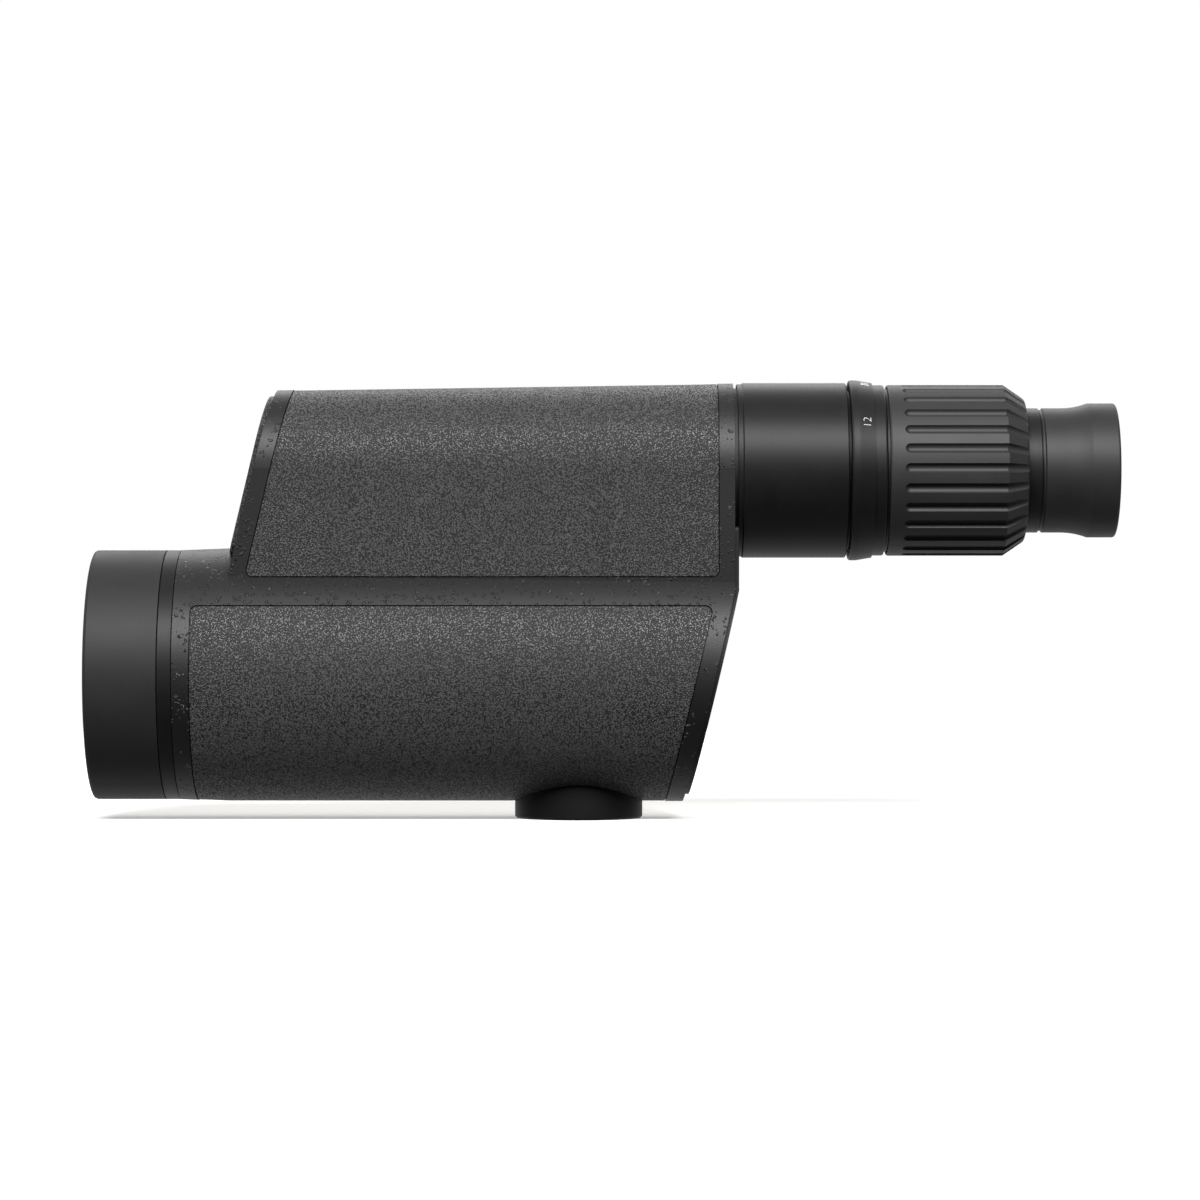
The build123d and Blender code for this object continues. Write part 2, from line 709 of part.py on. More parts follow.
with BuildPart() as index_dot:
    with BuildSketch(radial_plane(80.2, 90).offset(26.8)):
        Circle(0.6)
    extrude(amount=2)
    sleeve(tube, 75, 85, 27.0, 40.0, mode=Mode.SUBTRACT)
index_dot.part.label = "index_dot"
export_step(index_dot.part, "parts/index_dot.step")

with BuildPart() as tube_seal:
    sleeve(tube, tube_front_x - 1.1, tube_front_x, 22.6, 25.4)
tube_seal.part.label = "tube_seal"
export_step(tube_seal.part, "parts/tube_seal.step")

with BuildPart() as tube_nut:
    sleeve(tube, rear_x - end_wall - 3.0, rear_x - end_wall, tube_bore_r, 23.0)
tube_nut.part.label = "tube_nut"
export_step(tube_nut.part, "parts/tube_nut.step")

front_pin_x, front_pin_angle = 60.0, 90.0
rear_pin_x, rear_pin_angle = 75.0, 90.0
low, high = radians(power_low), radians(power_high)
guide_end_x = 100.0
with BuildPart() as guide_tube:
    sleeve(tube, 41.0, guide_end_x, guide_bore, guide_r)
    straight_slot(front_pin_x, front_pin_angle, front_cam_rate * low, front_cam_rate * high, 12, 20)
    straight_slot(rear_pin_x, rear_pin_angle, rear_cam_rate * high, rear_cam_rate * low, 12, 20)
guide_tube.part.label = "guide_tube"
export_step(guide_tube.part, "parts/guide_tube.step")

with BuildPart() as field_lens:
    lens(tube, 46.0, 48.5, guide_bore, 1.2, 0.0)
field_lens.part.label = "field_lens"
export_step(field_lens.part, "parts/field_lens.step")

with BuildPart() as stop_screw:
    radial_pin(stop_pin_x, -90, 22.9, 26.9, pin_r)
stop_screw.part.label = "stop_screw"
export_step(stop_screw.part, "parts/stop_screw.step")

# Power ring and the cam tube that it turns
cam_outer_r = 19.0
ring_x = 83.2
band_x0, band_x1 = 85.7, 90.4
lip_r, band_r = 27.83, 27.03
spot = degrees(1.4 / 23.0)
with BuildPart() as power_ring:
    turned(
        tube,
        (76.0, cam_outer_r),
        (76.0, tube_inner_r - running),
        (ring_x, tube_inner_r - running),
        (ring_x, lip_r - 0.7),
        (ring_x + 0.2, lip_r - 0.2),
        (ring_x + 0.7, lip_r),
        (band_x0, lip_r),
        (band_x1, band_r),
        (band_x1, 26.35),
        (93.6, 26.35),
        (94.0, 26.15),
        (94.1, 25.8),
        (94.1, guide_r + running),
        (88.0, guide_r + running),
        (88.0, cam_outer_r),
    )
    sleeve(tube, 80.6, 82.0, 23.3, 30.0, mode=Mode.SUBTRACT)
    first = -90 - power_high - spot
    sweep_angle = power_high - power_low + 2 * spot
    start_across = (0, -sin(radians(first)), cos(radians(first)))
    with BuildSketch(Plane(origin=(0, 0, tube_z), x_dir=(1, 0, 0), z_dir=start_across)):
        with Locations((stop_pin_x, 24.0)):
            Rectangle(2 * pin_slot_r, 2.8)
    revolve(axis=tube_axis, revolution_arc=sweep_angle, mode=Mode.SUBTRACT)
power_ring.part.label = "power_ring"
export_step(power_ring.part, "parts/power_ring.step")

with BuildPart() as power_seal:
    sleeve(tube, 80.6, 82.0, 23.3, tube_inner_r - running)
power_seal.part.label = "power_seal"
export_step(power_seal.part, "parts/power_seal.step")

with BuildPart() as cam_tube:
    sleeve(tube, 54.0, 88.0, guide_r + running, cam_outer_r)
    add(
        cam_groove(front_pin_x, front_pin_angle, front_cam_rate, power_low, power_high, 17, 19.5),
        mode=Mode.SUBTRACT,
    )
    add(
        cam_groove(rear_pin_x, rear_pin_angle, rear_cam_rate, power_low, power_high, 17, 19.5),
        mode=Mode.SUBTRACT,
    )
cam_tube.part.label = "cam_tube"
export_step(cam_tube.part, "parts/cam_tube.step")

# Erector cells that the cam slides along the guide tube
cell_r = guide_bore - running
with BuildPart() as erector_front_cell:
    sleeve(tube, front_pin_x - 4, front_pin_x + 4, 12.5, cell_r)
    sleeve(tube, front_pin_x + 2.8, front_pin_x + 4, 11.3, 12.5)
    with BuildSketch(radial_plane(front_pin_x, front_pin_angle).offset(12)):
        Circle(pin_r)
    extrude(amount=5, mode=Mode.SUBTRACT)
erector_front_cell.part.label = "erector_front_cell"
export_step(erector_front_cell.part, "parts/erector_front_cell.step")

with BuildPart() as erector_front_lens:
    lens(tube, front_pin_x - 1.0, front_pin_x + 2.8, 12.5, 0.9, 0.9)
erector_front_lens.part.label = "erector_front_lens"
export_step(erector_front_lens.part, "parts/erector_front_lens.step")

with BuildPart() as erector_front_pin:
    radial_pin(front_pin_x, front_pin_angle, 12.8, 18.8, pin_r)
erector_front_pin.part.label = "erector_front_pin"
export_step(erector_front_pin.part, "parts/erector_front_pin.step")

with BuildPart() as erector_rear_cell:
    sleeve(tube, rear_pin_x - 4, rear_pin_x + 4, 12.5, cell_r)
    sleeve(tube, rear_pin_x - 4, rear_pin_x - 2.8, 11.3, 12.5)
    with BuildSketch(radial_plane(rear_pin_x, rear_pin_angle).offset(12)):
        Circle(pin_r)
    extrude(amount=5, mode=Mode.SUBTRACT)
erector_rear_cell.part.label = "erector_rear_cell"
export_step(erector_rear_cell.part, "parts/erector_rear_cell.step")

with BuildPart() as erector_rear_lens:
    lens(tube, rear_pin_x - 2.8, rear_pin_x + 1.0, 12.5, 0.9, 0.9)
erector_rear_lens.part.label = "erector_rear_lens"
export_step(erector_rear_lens.part, "parts/erector_rear_lens.step")

with BuildPart() as erector_rear_pin:
    radial_pin(rear_pin_x, rear_pin_angle, 12.8, 18.8, pin_r)
erector_rear_pin.part.label = "erector_rear_pin"
export_step(erector_rear_pin.part, "parts/erector_rear_pin.step")

with BuildPart() as field_stop:
    sleeve(tube, 88.0, 91.0, 13.8, guide_bore)
    sleeve(tube, 89.0, 90.0, 9.0, 13.8)
field_stop.part.label = "field_stop"
export_step(field_stop.part, "parts/field_stop.step")

# Ocular housing, fixed on the guide tube, with the focus ring turning on it
neck_r = 19.24
neck_x = 133.0
sleeve_r = 22.0
drum_r = sleeve_r - running
eye_bore = 16.0
carrier_bore = 18.5
cup_seat_r = 17.6
focus_pin_x, focus_pin_angle = 113.0, 90.0
focus_high = radians(focus_turn_limit)
with BuildPart() as ocular_housing:
    turned(
        tube,
        (94.3, guide_r),
        (94.3, 19.5),
        (97.0, 19.5),
        (97.0, drum_r),
        (neck_x, drum_r),
        (neck_x, neck_r),
        (141.7, neck_r),
        (142.1, 18.7),
        (142.5, 18.7),
        (142.5, cup_seat_r),
        (147.5, cup_seat_r),
        (147.5, eye_bore),
        (127.0, eye_bore),
        (127.0, carrier_bore),
        (guide_end_x, carrier_bore),
        (guide_end_x, guide_r),
    )
    straight_slot(
        focus_pin_x, focus_pin_angle, -focus_rate * focus_high, focus_rate * focus_high, 17, 25
    )
ocular_housing.part.label = "ocular_housing"
export_step(ocular_housing.part, "parts/ocular_housing.step")

with BuildPart() as focus_stop_ring:
    sleeve(tube, 94.3, 97.0, 19.5, 25.2)
focus_stop_ring.part.label = "focus_stop_ring"
export_step(focus_stop_ring.part, "parts/focus_stop_ring.step")

grip_seat_r = 23.6
with BuildPart() as focus_sleeve:
    sleeve(tube, 97.1, neck_x, sleeve_r, grip_seat_r)
    add(
        cam_groove(
            focus_pin_x,
            focus_pin_angle,
            focus_rate,
            -focus_turn_limit,
            focus_turn_limit,
            sleeve_r - 0.6,
            sleeve_r + 1.0,
        ),
        mode=Mode.SUBTRACT,
    )
focus_sleeve.part.label = "focus_sleeve"
export_step(focus_sleeve.part, "parts/focus_sleeve.step")

grip_r = 26.4
flute_r = 1.6
flute_line_r = grip_r + 0.55  # the cutter's centre line, so a flute is about 1 mm deep
flute_x = 99.4
flute_rise = 5.0  # degrees by which a flute shallows towards the cone's small end
flute_run = 12.0  # length of cutter past the knee, well clear of the ring
cone_x0, cone_x1, cone_r = 131.0, 136.9, 22.4
cone_angle = degrees(atan2(grip_r - cone_r, cone_x1 - cone_x0))


def flute(turn):
    # One flute: a round-ended groove along the ring that bends down with its cone.
    angle = radians(180 + 360 / flute_count * turn)
    out = (0, cos(angle), sin(angle))
    centre_y, centre_z = flute_line_r * out[1], tube_z + flute_line_r * out[2]
    along = Plane(origin=(flute_x + flute_r, centre_y, centre_z), x_dir=out, z_dir=(1, 0, 0))
    fall = radians(cone_angle - flute_rise)
    knee = Plane(
        origin=(cone_x0, centre_y, centre_z),
        z_dir=(cos(fall), -sin(fall) * out[1], -sin(fall) * out[2]),
    )
    with BuildPart() as cutter:
        with BuildSketch(along):
            Circle(flute_r)
        extrude(amount=cone_x0 - flute_x - flute_r)
        with BuildSketch(knee):
            Circle(flute_r)
        extrude(amount=flute_run)
        with Locations(along, knee):
            Sphere(flute_r)
    return cutter.part


with BuildPart() as focus_ring:
    turned(
        tube,
        (95.0, 25.3),
        (95.0, grip_r - 0.6),
        (95.15, grip_r - 0.2),
        (95.6, grip_r),
        (cone_x0, grip_r),
        (cone_x1, cone_r),
        (137.4, 21.9),
        (137.6, 21.2),
        (137.6, neck_r + 0.1),
        (neck_x, neck_r + 0.1),
        (neck_x, grip_seat_r),
        (97.1, grip_seat_r),
        (97.1, 25.3),
    )
    for turn in range(flute_count):
        add(flute(turn), mode=Mode.SUBTRACT)
focus_ring.part.label = "focus_ring"
export_step(focus_ring.part, "parts/focus_ring.step")

with BuildPart() as focus_carrier:
    sleeve(tube, focus_pin_x - 6, focus_pin_x + 6, 15.5, carrier_bore - running)
    sleeve(tube, focus_pin_x + 4.5, focus_pin_x + 6, 14.3, 15.5)
    with BuildSketch(radial_plane(focus_pin_x, focus_pin_angle).offset(15)):
        Circle(pin_r)
    extrude(amount=5, mode=Mode.SUBTRACT)
focus_carrier.part.label = "focus_carrier"
export_step(focus_carrier.part, "parts/focus_carrier.step")

with BuildPart() as focus_lens:
    lens(tube, focus_pin_x + 1.5, focus_pin_x + 4.5, 15.5, -1.0, -1.0)
focus_lens.part.label = "focus_lens"
export_step(focus_lens.part, "parts/focus_lens.step")

with BuildPart() as focus_pin:
    radial_pin(focus_pin_x, focus_pin_angle, 15.8, 22.8, pin_r)
focus_pin.part.label = "focus_pin"
export_step(focus_pin.part, "parts/focus_pin.step")

with BuildPart() as eye_lens_front:
    lens(tube, 129.0, 133.5, eye_bore, 0.0, 2.4)
eye_lens_front.part.label = "eye_lens_front"
export_step(eye_lens_front.part, "parts/eye_lens_front.step")

with BuildPart() as eye_lens_spacer:
    sleeve(tube, 133.5, 138.4, 15.2, eye_bore)
eye_lens_spacer.part.label = "eye_lens_spacer"
export_step(eye_lens_spacer.part, "parts/eye_lens_spacer.step")

with BuildPart() as eye_lens_rear:
    lens(tube, 138.4, 142.6, eye_bore, 2.0, 0.6)
eye_lens_rear.part.label = "eye_lens_rear"
export_step(eye_lens_rear.part, "parts/eye_lens_rear.step")

with BuildPart() as eye_lens_retainer:
    sleeve(tube, 142.6, 145.6, 14.6, eye_bore)
eye_lens_retainer.part.label = "eye_lens_retainer"
export_step(eye_lens_retainer.part, "parts/eye_lens_retainer.step")

cup_flare_x, cup_rim_x = 157.2, 165.7
cup_rim_r = 20.74
with BuildPart() as eyecup:
    with BuildSketch(tube_plane):
        with BuildLine():
            Polyline(
                (147.5, cup_seat_r),
                (142.5, cup_seat_r),
                (142.5, 18.7),
                (142.8, 18.7),
                (143.2, neck_r),
                (148.9, neck_r),
            )
            TangentArc((148.9, neck_r), (cup_flare_x, cup_rim_r), tangent=(1, 0))
            Line((cup_flare_x, cup_rim_r), (cup_rim_x - 0.8, cup_rim_r))
            ThreePointArc(
                (cup_rim_x - 0.8, cup_rim_r),
                (cup_rim_x, cup_rim_r - 0.8),
                (cup_rim_x - 0.8, cup_rim_r - 1.6),
            )
            Polyline(
                (cup_rim_x - 0.8, cup_rim_r - 1.6),
                (157.5, 18.9),
                (149.5, 16.6),
                (147.5, 16.6),
                (147.5, cup_seat_r),
            )
        make_face()
    revolve(axis=tube_axis)
eyecup.part.label = "eyecup"
export_step(eyecup.part, "parts/eyecup.step")
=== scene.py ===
import math

import bpy
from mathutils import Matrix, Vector


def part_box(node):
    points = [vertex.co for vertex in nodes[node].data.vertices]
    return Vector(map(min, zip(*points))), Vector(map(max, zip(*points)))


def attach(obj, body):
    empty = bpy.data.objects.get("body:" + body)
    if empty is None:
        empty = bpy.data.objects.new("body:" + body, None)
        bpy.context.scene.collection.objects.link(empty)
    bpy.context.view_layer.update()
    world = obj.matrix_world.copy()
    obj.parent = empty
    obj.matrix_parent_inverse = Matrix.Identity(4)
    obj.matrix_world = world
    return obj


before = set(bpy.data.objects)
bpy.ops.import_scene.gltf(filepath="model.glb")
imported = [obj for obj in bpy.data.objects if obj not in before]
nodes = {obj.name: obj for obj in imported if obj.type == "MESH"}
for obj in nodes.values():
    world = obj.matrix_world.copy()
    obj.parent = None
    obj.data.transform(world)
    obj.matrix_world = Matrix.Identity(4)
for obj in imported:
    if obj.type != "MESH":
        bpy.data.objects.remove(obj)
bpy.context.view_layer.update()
scene = bpy.context.scene
print("frame loaded:", len(nodes), "nodes")

# Camera and studio


def aimAt(thing, target):
    thing.rotation_euler = (Vector(target) - thing.location).to_track_quat("-Z", "Y").to_euler()


def linearColour(code):
    # sRGB hex to the linear values that the shaders work in, with the sRGB standard's constants
    values = [int(code[i : i + 2], 16) / 255 for i in (1, 3, 5)]
    return tuple(v / 12.92 if v <= 0.04045 else ((v + 0.055) / 1.055) ** 2.4 for v in values) + (1,)


def addNode(tree, kind, settings=None, inputs=None):
    node = tree.nodes.new(kind)
    for name, value in (settings or {}).items():
        setattr(node, name, value)
    for name, value in (inputs or {}).items():
        if isinstance(value, bpy.types.NodeSocket):
            tree.links.new(value, node.inputs[name])
        else:
            node.inputs[name].default_value = value
    return node


cameraSettings = {
    "place": (0.0066, -1.362, 0.0673),
    "tilt": 90,  # degrees from straight down, so it looks level at the side
    "lens": 132.0,
    "sensor": 36.0,
}
bpy.ops.object.camera_add(
    location=cameraSettings["place"], rotation=(math.radians(cameraSettings["tilt"]), 0, 0)
)
camera = bpy.context.object
camera.name = "productCamera"
camera.data.lens = cameraSettings["lens"]
camera.data.sensor_width = cameraSettings["sensor"]
scene.camera = camera
scene.view_settings.view_transform = "Standard"

lightAim = (0.0, 0.0, 0.07)  # the middle of the object
lightSettings = {
    "overheadSoftbox": {"place": (0.0, -0.95, 0.95), "size": (1.5, 0.4), "power": 38},
    "topSoftbox": {"place": (0.0, 0.15, 1.5), "size": (1.4, 0.9), "power": 0.6},
    "rearSoftbox": {"place": (0.1, 1.1, 0.9), "size": (1.4, 0.5), "power": 7},
}
for lightName, asked in lightSettings.items():
    bpy.ops.object.light_add(type="AREA", location=asked["place"])
    light = bpy.context.object
    light.name = lightName
    light.data.shape = "RECTANGLE"
    light.data.size, light.data.size_y = asked["size"]
    light.data.energy = asked["power"]
    aimAt(light, lightAim)

# The room is pure white to look at, but as a light it is dim in front and bright behind.
roomSettings = {
    "seen": 1.0,
    "front": 0.05,
    "behind": 0.9,
    "dimUpTo": -0.6,  # how far a direction points to the back, -1 to 1
    "brightFrom": 1.0,
}
room = bpy.data.worlds.new("whiteRoom")
room.use_nodes = True
roomTree = room.node_tree
roomTree.nodes.clear()
direction = addNode(roomTree, "ShaderNodeTexCoord")
axes = addNode(roomTree, "ShaderNodeSeparateXYZ", {}, {"Vector": direction.outputs["Generated"]})
depth = addNode(
    roomTree,
    "ShaderNodeMapRange",
    {"interpolation_type": "SMOOTHSTEP"},
    {
        "Value": axes.outputs["Y"],
        "From Min": roomSettings["dimUpTo"],
        "From Max": roomSettings["brightFrom"],
        "To Min": roomSettings["front"],
        "To Max": roomSettings["behind"],
    },
)
whichRay = addNode(roomTree, "ShaderNodeLightPath")
seenLevel = addNode(
    roomTree,
    "ShaderNodeMix",
    {"data_type": "FLOAT"},
    {
        "Factor": whichRay.outputs["Is Camera Ray"],
        "A": depth.outputs["Result"],
        "B": roomSettings["seen"],
    },
)
roomGlow = addNode(
    roomTree,
    "ShaderNodeBackground",
    {},
    {"Color": (1, 1, 1, 1), "Strength": seenLevel.outputs["Result"]},
)
addNode(roomTree, "ShaderNodeOutputWorld", {}, {"Surface": roomGlow.outputs["Background"]})
scene.world = room

floorSettings = {
    "size": 1.9,
    "colour": "#ecebe8",
    "roughness": 0.8,
    "glow": 0.4,  # keeps its far end pale
}
bpy.ops.mesh.primitive_plane_add(size=floorSettings["size"], location=(0, 0, 0))
floor = bpy.context.object
floor.name = "studioFloor"
floorPaint = bpy.data.materials.new("matteFloorPaint")
floorPaint.use_nodes = True
floorShader = floorPaint.node_tree.nodes["Principled BSDF"]
floorColour = linearColour(floorSettings["colour"])
floorShader.inputs["Base Color"].default_value = floorColour
floorShader.inputs["Roughness"].default_value = floorSettings["roughness"]
floorShader.inputs["Emission Color"].default_value = floorColour
floorShader.inputs["Emission Strength"].default_value = floorSettings["glow"]
floor.data.materials.append(floorPaint)
floor.visible_glossy = False  # the studio is dark in front, so no bright floor shows in the gloss
floor.visible_diffuse = False
print("camera, lights and floor made")

# Materials. Object coordinates are metres, so 1000 / millimetres is a pattern's scale.
# In the settings below, sizes are in millimetres, and each pair is the value at the low and
# the high end of a pattern.


def perMetre(millimetres):
    return 1000 / millimetres


def newMaterial(name, fixed):
    # fixed holds the values that are the same all over the surface
    material = bpy.data.materials.new(name)
    material.use_nodes = True
    shader = material.node_tree.nodes["Principled BSDF"]
    for socket, value in fixed.items():
        shader.inputs[socket].default_value = value
    place = addNode(material.node_tree, "ShaderNodeTexCoord").outputs["Object"]
    return material, material.node_tree, shader, place


def colourSpread(tree, shader, value, colours, ends=(0.0, 1.0)):
    ramp = addNode(tree, "ShaderNodeValToRGB", {}, {"Fac": value})
    for element, position, code in zip(ramp.color_ramp.elements, ends, colours):
        element.position = position
        element.color = linearColour(code)
    tree.links.new(ramp.outputs["Color"], shader.inputs["Base Color"])


def roughnessSpread(tree, shader, value, ends):
    spread = addNode(
        tree, "ShaderNodeMapRange", {}, {"Value": value, "To Min": ends[0], "To Max": ends[1]}
    )
    tree.links.new(spread.outputs["Result"], shader.inputs["Roughness"])


def bumpFrom(tree, shader, height, strength, millimetres):
    bump = addNode(
        tree,
        "ShaderNodeBump",
        {},
        {"Height": height, "Strength": strength, "Distance": millimetres / 1000},
    )
    tree.links.new(bump.outputs["Normal"], shader.inputs["Normal"])


mottleEnds = (0.3, 0.7)  # nearly all of a noise lies between these

# Moulded rubber sheet with a leather-like grain of short ridges, no gloss. The pale crests are a
# painted highlight and the dark valleys are painted shade, laid over the bump's relief.
grainSettings = {
    "ridge": 0.3,
    "bend": 0.3,  # how much the ridges wander
    "pebble": 0.54,
    "pull": 0.34,  # how far the ridges drag the pebbles
    "reliefEnds": (-0.20, 0.27),  # ridge less distance to the pebble, at valley and crest
    # painted shade in the valleys, painted highlight on the crests
    "colours": ("#080808", "#505050"),
    "roughness": (0.7, 0.42),
    "bump": 1.0,
    "height": 0.22,
}


def pebbledRubber():
    asked = grainSettings
    material, tree, shader, place = newMaterial("pebbleGrainedRubber", {})
    grain = addNode(
        tree,
        "ShaderNodeTexNoise",
        {},
        {
            "Vector": place,
            "Scale": perMetre(asked["ridge"]),
            "Detail": 0.0,
            "Distortion": asked["bend"],
        },
    )
    pull = addNode(
        tree,
        "ShaderNodeVectorMath",
        {"operation": "MULTIPLY_ADD"},
        {0: grain.outputs["Color"], 1: (asked["pull"] / 1000,) * 3, 2: place},
    )
    pebbles = addNode(
        tree,
        "ShaderNodeTexVoronoi",
        {},
        {"Vector": pull.outputs["Vector"], "Scale": perMetre(asked["pebble"])},
    )
    relief = addNode(
        tree,
        "ShaderNodeMath",
        {"operation": "SUBTRACT"},
        {0: grain.outputs["Fac"], 1: pebbles.outputs["Distance"]},
    )
    valley, top = asked["reliefEnds"]
    crestWithPaintedLight = addNode(
        tree,
        "ShaderNodeMapRange",
        {"interpolation_type": "SMOOTHSTEP"},
        {"Value": relief.outputs["Value"], "From Min": valley, "From Max": top},
    )
    # the grain's colour is painted light: shade in the valleys, highlight on the crests
    colourSpread(tree, shader, crestWithPaintedLight.outputs["Result"], asked["colours"])
    roughnessSpread(tree, shader, crestWithPaintedLight.outputs["Result"], asked["roughness"])
    bumpFrom(tree, shader, crestWithPaintedLight.outputs["Result"], asked["bump"], asked["height"])
    return material


# Wrinkle-finish baked coat on cast aluminium: satin, with stray worm-shaped drops raised on it. The
# drops are coloured lighter than the coat as a painted highlight on their relief.
coatSettings = {
    "drop": 2.1,  # spacing
    "dropEnds": (0.34, 0.14),  # a drop's edge and its flat top, as shares of the spacing
    "curl": 1.8,
    "sway": 4.0,  # how far the curls bend the drops
    "patch": 7.0,
    "patchEnds": (0.44, 0.54),  # where a patch starts to carry drops, and where it is full
    "crease": 70.0,  # height of the crease, where the drops crowd
    "creaseReach": (9.0, 3.0),  # from the crease: the crowding's edge and its core
    "crowding": 0.12,  # how much more of a patch's level there is there
    "grit": 0.5,
    "gritShare": 0.05,
    # the coat, and the drops' painted highlight
    "colours": ("#111111", "#303030"),
    "roughness": (0.42, 0.56),
    "specular": 0.4,
    "bump": 0.9,
    "height": 0.5,
}


def wrinkleCoat():
    asked = coatSettings
    material, tree, shader, place = newMaterial(
        "wrinkleCoatedCastAluminium", {"Specular IOR Level": asked["specular"]}
    )
    curl = addNode(
        tree,
        "ShaderNodeTexNoise",
        {},
        {"Vector": place, "Scale": perMetre(asked["curl"]), "Detail": 1.0},
    )
    shift = addNode(
        tree,
        "ShaderNodeVectorMath",
        {"operation": "MULTIPLY_ADD"},
        {0: curl.outputs["Color"], 1: (asked["sway"] / 1000,) * 3, 2: place},
    )
    drops = addNode(
        tree,
        "ShaderNodeTexVoronoi",
        {},
        {"Vector": shift.outputs["Vector"], "Scale": perMetre(asked["drop"])},
    )
    dropEdge, dropTop = asked["dropEnds"]
    raised = addNode(
        tree,
        "ShaderNodeMapRange",
        {"interpolation_type": "SMOOTHSTEP"},
        {"Value": drops.outputs["Distance"], "From Min": dropEdge, "From Max": dropTop},
    )
    patches = addNode(
        tree,
        "ShaderNodeTexNoise",
        {},
        {"Vector": place, "Scale": perMetre(asked["patch"]), "Detail": 1.0},
    )
    along = addNode(tree, "ShaderNodeSeparateXYZ", {}, {"Vector": place})
    fromCrease = addNode(
        tree,
        "ShaderNodeMath",
        {"operation": "SUBTRACT"},
        {0: along.outputs["Z"], 1: asked["crease"] / 1000},
    )
    nearCrease = addNode(
        tree,
        "ShaderNodeMath",
        {"operation": "ABSOLUTE"},
        {0: fromCrease.outputs["Value"]},
    )
    reachEdge, reachCore = asked["creaseReach"]
    crowded = addNode(
        tree,
        "ShaderNodeMapRange",
        {"interpolation_type": "SMOOTHSTEP"},
        {
            "Value": nearCrease.outputs["Value"],
            "From Min": reachEdge / 1000,
            "From Max": reachCore / 1000,
            "To Max": asked["crowding"],
        },
    )
    patchLevel = addNode(
        tree,
        "ShaderNodeMath",
        {"operation": "ADD"},
        {0: patches.outputs["Fac"], 1: crowded.outputs["Result"]},
    )
    patchStart, patchFull = asked["patchEnds"]
    chosen = addNode(
        tree,
        "ShaderNodeMapRange",
        {"interpolation_type": "SMOOTHSTEP"},
        {"Value": patchLevel.outputs["Value"], "From Min": patchStart, "From Max": patchFull},
    )
    dropsWithPaintedHighlight = addNode(
        tree,
        "ShaderNodeMath",
        {"operation": "MULTIPLY"},
        {0: raised.outputs["Result"], 1: chosen.outputs["Result"]},
    )
    grit = addNode(
        tree, "ShaderNodeTexNoise", {}, {"Vector": place, "Scale": perMetre(asked["grit"])}
    )
    height = addNode(
        tree,
        "ShaderNodeMath",
        {"operation": "MULTIPLY_ADD"},
        {0: grit.outputs["Fac"], 1: asked["gritShare"], 2: dropsWithPaintedHighlight.outputs["Value"]},
    )
    # the raised drops get a painted highlight in their colour
    colourSpread(tree, shader, dropsWithPaintedHighlight.outputs["Value"], asked["colours"])
    roughnessSpread(tree, shader, grit.outputs["Fac"], asked["roughness"])
    bumpFrom(tree, shader, height.outputs["Value"], asked["bump"], asked["height"])
    return material


# Plain finishes, each with a faint broad mottle and a fine grain.
evenSettings = {
    # Fine-blasted and painted: soft, even, slightly grey
    "shade_coat": {
        "name": "blastedMatteEnamel",
        "colours": ("#1f1f1f", "#252525"),
        "roughness": 0.58,
        "grain": 0.45,
        "height": 0.02,
        "specular": 0.28,
    },
    # Hard-anodised and blasted: the deadest black on the object
    "foot_coat": {
        "name": "blastedHardAnodisedAluminium",
        "colours": ("#090909", "#0d0d0d"),
        "roughness": 0.55,
        "grain": 0.4,
        "height": 0.02,
        "specular": 0.2,
    },
    # Moulded rubber grip: dry, grey bloom on the lands
    "grip_rubber": {
        "name": "mouldedNitrileRubber",
        "colours": ("#1e1e1e", "#262626"),
        "roughness": 0.56,
        "grain": 0.5,
        "height": 0.03,
        "specular": 0.4,
    },
    # Softer rubber for the eye: dry, a little darker
    "cup_rubber": {
        "name": "softSiliconeRubber",
        "colours": ("#1b1b1b", "#222222"),
        "roughness": 0.56,
        "grain": 0.6,
        "height": 0.02,
        "specular": 0.4,
    },
    # Seals: plain black rubber
    "seal_rubber": {
        "name": "blackSealRubber",
        "colours": ("#080808", "#0e0e0e"),
        "roughness": 0.6,
        "grain": 0.4,
        "height": 0.01,
        "specular": 0.5,
    },
    # Enamel wiped into the figures: flat white, faintly uneven
    "white_enamel": {
        "name": "whiteFillEnamel",
        "colours": ("#dcdcda", "#efefed"),
        "roughness": 0.4,
        "grain": 0.3,
        "height": 0.005,
        "specular": 0.5,
    },
}
mottleSettings = {
    "size": 14.0,
    "share": 0.5,  # of the colour's change, the rest follows the fine grain
    "roughnessSpread": 0.05,
    "bump": 0.5,
}


def evenCoat(asked):
    material, tree, shader, place = newMaterial(
        asked["name"], {"Specular IOR Level": asked["specular"]}
    )
    fine = addNode(
        tree, "ShaderNodeTexNoise", {}, {"Vector": place, "Scale": perMetre(asked["grain"])}
    )
    broad = addNode(
        tree, "ShaderNodeTexNoise", {}, {"Vector": place, "Scale": perMetre(mottleSettings["size"])}
    )
    both = addNode(
        tree,
        "ShaderNodeMix",
        {"data_type": "FLOAT"},
        {
            "Factor": mottleSettings["share"],
            "A": fine.outputs["Fac"],
            "B": broad.outputs["Fac"],
        },
    )
    colourSpread(tree, shader, both.outputs["Result"], asked["colours"], mottleEnds)
    middle, spread = asked["roughness"], mottleSettings["roughnessSpread"]
    roughnessSpread(tree, shader, broad.outputs["Fac"], (middle - spread, middle + spread))
    bumpFrom(tree, shader, fine.outputs["Fac"], mottleSettings["bump"], asked["height"])
    return material


# Turned aluminium, anodised black: satin, with hair-fine rings left by the lathe. The rings are
# drawn coarser than a lathe's feed of about 0.1 mm, so that they show.
turningSettings = {
    "pitch": 0.6,
    "mottle": 9.0,
    "colours": ("#0e0e0e", "#141414"),
    "roughness": (0.44, 0.50),
    "specular": 0.25,
    "bump": 0.4,
    "height": 0.003,
}


